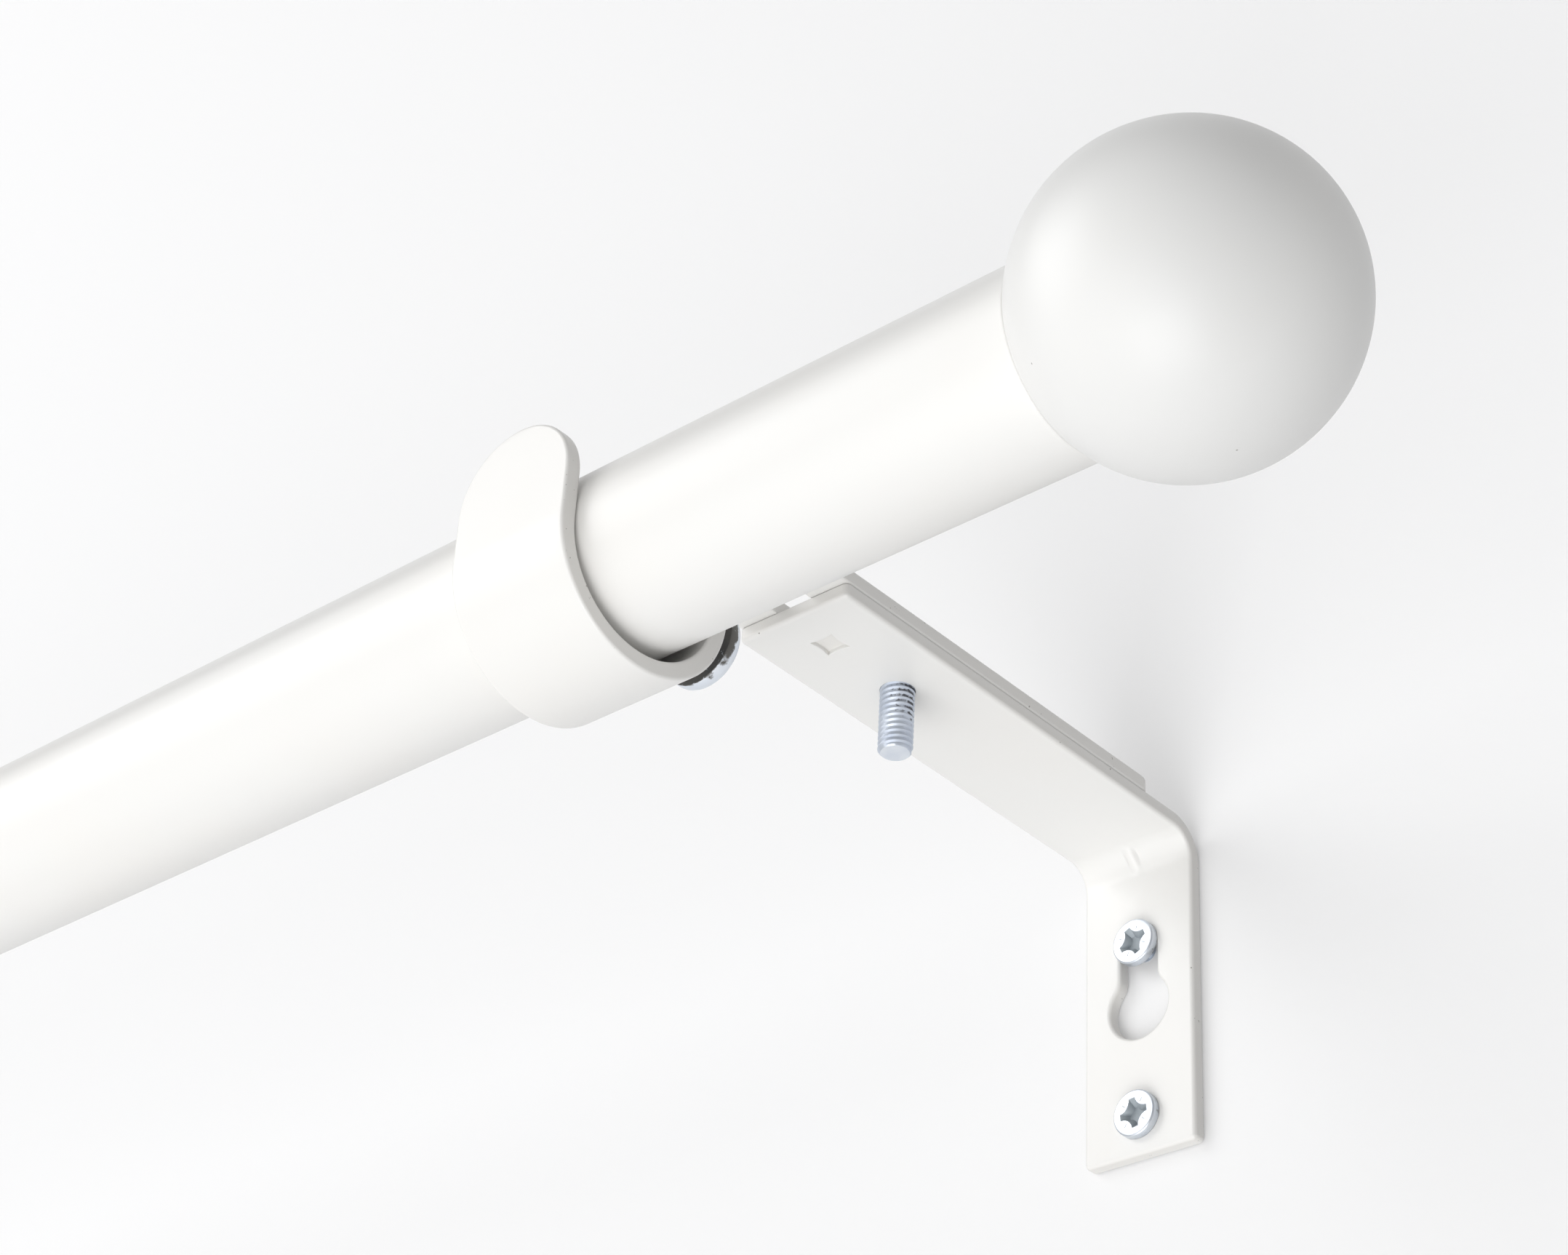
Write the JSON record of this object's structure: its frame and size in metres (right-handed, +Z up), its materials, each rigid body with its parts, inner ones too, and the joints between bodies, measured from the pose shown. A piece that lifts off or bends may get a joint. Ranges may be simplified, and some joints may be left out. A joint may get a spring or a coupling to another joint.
{
  "type": "extendable curtain rod",
  "caption": "White telescoping curtain rod with ball ends, in cradles on slotted arms that slide on keyhole wall brackets and are clamped by screws.",
  "frame": {"origin": "on the wall, midway between the two wall screws of the right bracket", "axes": "+X along the rod towards the outer tube's ball, +Y into the wall, +Z up"},
  "size_m": [0.7303, 0.1401, 0.0455],
  "materials": {
    "white_paint": "satin white paint on steel",
    "white_ball": "satin white lacquer",
    "white_plastic": "plain white moulding",
    "zinc_steel": "bright zinc plate"
  },
  "bodies": {
    "right_wall": {"right_wall_bracket": "white_paint", "right_wall_screws": "zinc_steel"},
    "right_rod": {"right_cradle_slider": "white_paint", "outer_tube": "white_paint", "guide_sleeve": "white_plastic", "right_finial_ball": "white_ball", "right_finial_plug": "white_plastic", "right_finial_stud": "zinc_steel"},
    "right_clamp": {"right_clamp_screw": "zinc_steel"},
    "right_lock": {"right_lock_screw": "zinc_steel"},
    "left_rod": {"left_cradle_slider": "white_paint", "inner_tube": "white_paint", "inner_glide": "white_plastic", "left_finial_ball": "white_ball", "left_finial_plug": "white_plastic", "left_finial_stud": "zinc_steel"},
    "left_wall": {"left_wall_bracket": "white_paint", "left_wall_screws": "zinc_steel"},
    "left_clamp": {"left_clamp_screw": "zinc_steel"},
    "left_lock": {"left_lock_screw": "zinc_steel"}
  },
  "joints": [
    {"name": "depth_adjustment", "type": "slide", "parent": "right_wall", "child": "right_rod", "axis": [0, -1, 0], "range_m": [-0.006, 0.03]},
    {"name": "rod_extension", "type": "slide", "parent": "right_rod", "child": "left_rod", "axis": [-1, 0, 0], "range_m": [-0.065, 0.27]},
    {"name": "left_depth_adjustment", "type": "slide", "parent": "left_rod", "child": "left_wall", "axis": [0, 1, 0], "range_m": [-0.006, 0.03]},
    {"name": "right_clamp_screw_lift", "type": "slide", "parent": "right_wall", "child": "right_clamp", "axis": [0, 0, 1], "range_m": [0, 0.003]},
    {"name": "left_clamp_screw_lift", "type": "slide", "parent": "left_wall", "child": "left_clamp", "axis": [0, 0, 1], "range_m": [0, 0.003]},
    {"name": "right_lock_screw_back_off", "type": "slide", "parent": "right_rod", "child": "right_lock", "axis": [0, 1, 0], "range_m": [0, 0.0025]},
    {"name": "left_lock_screw_back_off", "type": "slide", "parent": "left_rod", "child": "left_lock", "axis": [0, 1, 0], "range_m": [0, 0.0025]}
  ],
  "couplings": [
    {"joint": "left_depth_adjustment", "follows": "depth_adjustment", "ratio": 1}
  ]
}
